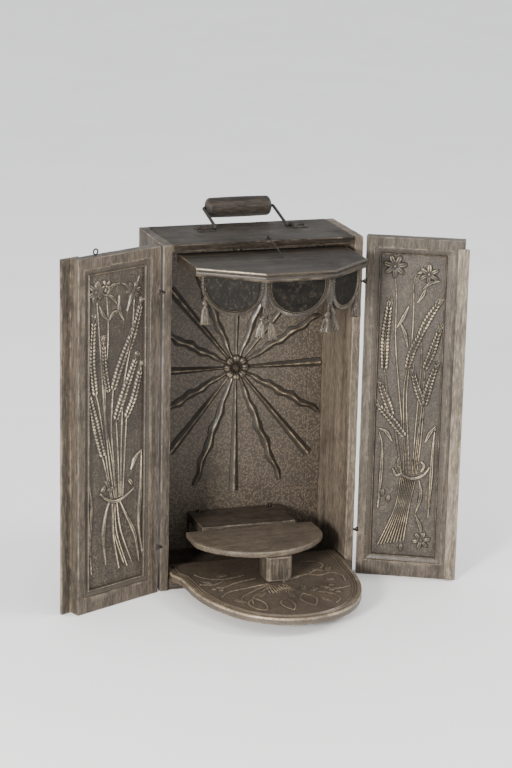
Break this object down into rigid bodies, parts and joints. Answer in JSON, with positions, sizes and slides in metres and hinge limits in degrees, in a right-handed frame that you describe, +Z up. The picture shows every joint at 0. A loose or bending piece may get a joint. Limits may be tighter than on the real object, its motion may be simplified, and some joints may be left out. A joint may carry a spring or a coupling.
{
  "type": "tabernacle box",
  "caption": "Portable folding tabernacle: a wooden case with two carved doors, a fold-down canopy, a hinged shelf and base board, a sunburst back and a carrying handle",
  "frame": {"origin": "centre of the case's underside, on the surface that it stands on", "axes": "+Z up, -Y towards the open front, +X to the viewer's right"},
  "size_m": [0.5601, 0.3641, 0.5124],
  "materials": {
    "aged_wood": "worn, waxed, dark",
    "door_wood": "worn, waxed, dark",
    "gilded_carving": "carved and gilded, rubbed through on the high parts",
    "painted_panel": "dark paint, dull",
    "iron": "wrought wire and sheet, dull",
    "grip_wood": "handled smooth"
  },
  "bodies": {
    "case": {"side_left": "aged_wood", "side_right": "aged_wood", "top_board": "aged_wood", "floor_board": "aged_wood", "back_board_wide": "aged_wood", "back_board_narrow": "aged_wood", "case_nails": "iron", "shelf_ledger": "aged_wood", "sun_rays_straight": "gilded_carving", "sun_rays_wavy": "gilded_carving", "sun_flower": "gilded_carving", "door_hinge_eyes": "iron", "canopy_fixed_eyes": "iron", "shelf_fixed_eyes": "iron", "board_fixed_eyes": "iron", "hook_staple": "iron", "handle_saddles": "iron", "saddle_nails": "iron"},
    "left_door": {"left_door_leaf": "door_wood", "left_door_moulding": "gilded_carving", "left_door_carving": "gilded_carving", "left_door_hinge_eyes": "iron", "left_door_astragal": "door_wood", "left_door_latch_eye": "iron"},
    "right_door": {"right_door_leaf": "door_wood", "right_door_moulding": "gilded_carving", "right_door_carving": "gilded_carving", "right_door_hinge_eyes": "iron", "right_door_strip": "door_wood"},
    "canopy": {"canopy_board": "aged_wood", "canopy_moving_eyes": "iron", "valance_panel_left": "painted_panel", "valance_fringe_left": "gilded_carving", "valance_panel_middle": "painted_panel", "valance_fringe_middle": "gilded_carving", "valance_panel_right": "painted_panel", "valance_fringe_right": "gilded_carving", "valance_pendants": "gilded_carving", "valance_tassels": "gilded_carving", "canopy_catch": "iron"},
    "hook": {"latch_hook": "iron"},
    "shelf": {"shelf_board": "gilded_carving", "shelf_rear_board": "aged_wood", "shelf_battens": "aged_wood", "shelf_leg": "aged_wood", "shelf_moving_eyes": "iron"},
    "base_board": {"base_board": "gilded_carving", "board_moving_eyes": "iron"},
    "handle": {"handle_bail": "iron", "handle_grip": "grip_wood"}
  },
  "joints": [
    {"name": "left_door_hinge", "type": "hinge", "parent": "case", "child": "left_door", "pos_m": [-0.1415, -0.062, 0.242], "axis": [0, 0, 1], "range_deg": [0, 155]},
    {"name": "right_door_hinge", "type": "hinge", "parent": "case", "child": "right_door", "pos_m": [0.1415, -0.062, 0.242], "axis": [0, 0, -1], "range_deg": [0, 153]},
    {"name": "canopy_hinge", "type": "hinge", "parent": "case", "child": "canopy", "pos_m": [0, -0.0425, 0.463], "axis": [1, 0, 0], "range_deg": [0, 90]},
    {"name": "shelf_hinge", "type": "hinge", "parent": "case", "child": "shelf", "pos_m": [0, 0.0485, 0.0715], "axis": [-1, 0, 0], "range_deg": [0, 90]},
    {"name": "base_board_hinge", "type": "hinge", "parent": "case", "child": "base_board", "pos_m": [0, -0.0215, 0.0208], "axis": [-1, 0, 0], "range_deg": [0, 90]},
    {"name": "hook_pivot", "type": "hinge", "parent": "case", "child": "hook", "pos_m": [0.006, -0.0565, 0.4846], "axis": [-1, 0, 0], "range_deg": [0, 190]},
    {"name": "handle_pivot", "type": "hinge", "parent": "case", "child": "handle", "pos_m": [0, 0.0235, 0.4834], "axis": [1, 0, 0], "range_deg": [-10, 105]}
  ],
  "couplings": [
    {"joint": "right_door_hinge", "follows": "left_door_hinge", "ratio": 0.9871},
    {"joint": "canopy_hinge", "follows": "left_door_hinge", "ratio": 0.58064},
    {"joint": "shelf_hinge", "follows": "left_door_hinge", "ratio": 0.58064},
    {"joint": "base_board_hinge", "follows": "left_door_hinge", "ratio": 0.58064},
    {"joint": "hook_pivot", "follows": "left_door_hinge", "ratio": 1.2258}
  ]
}
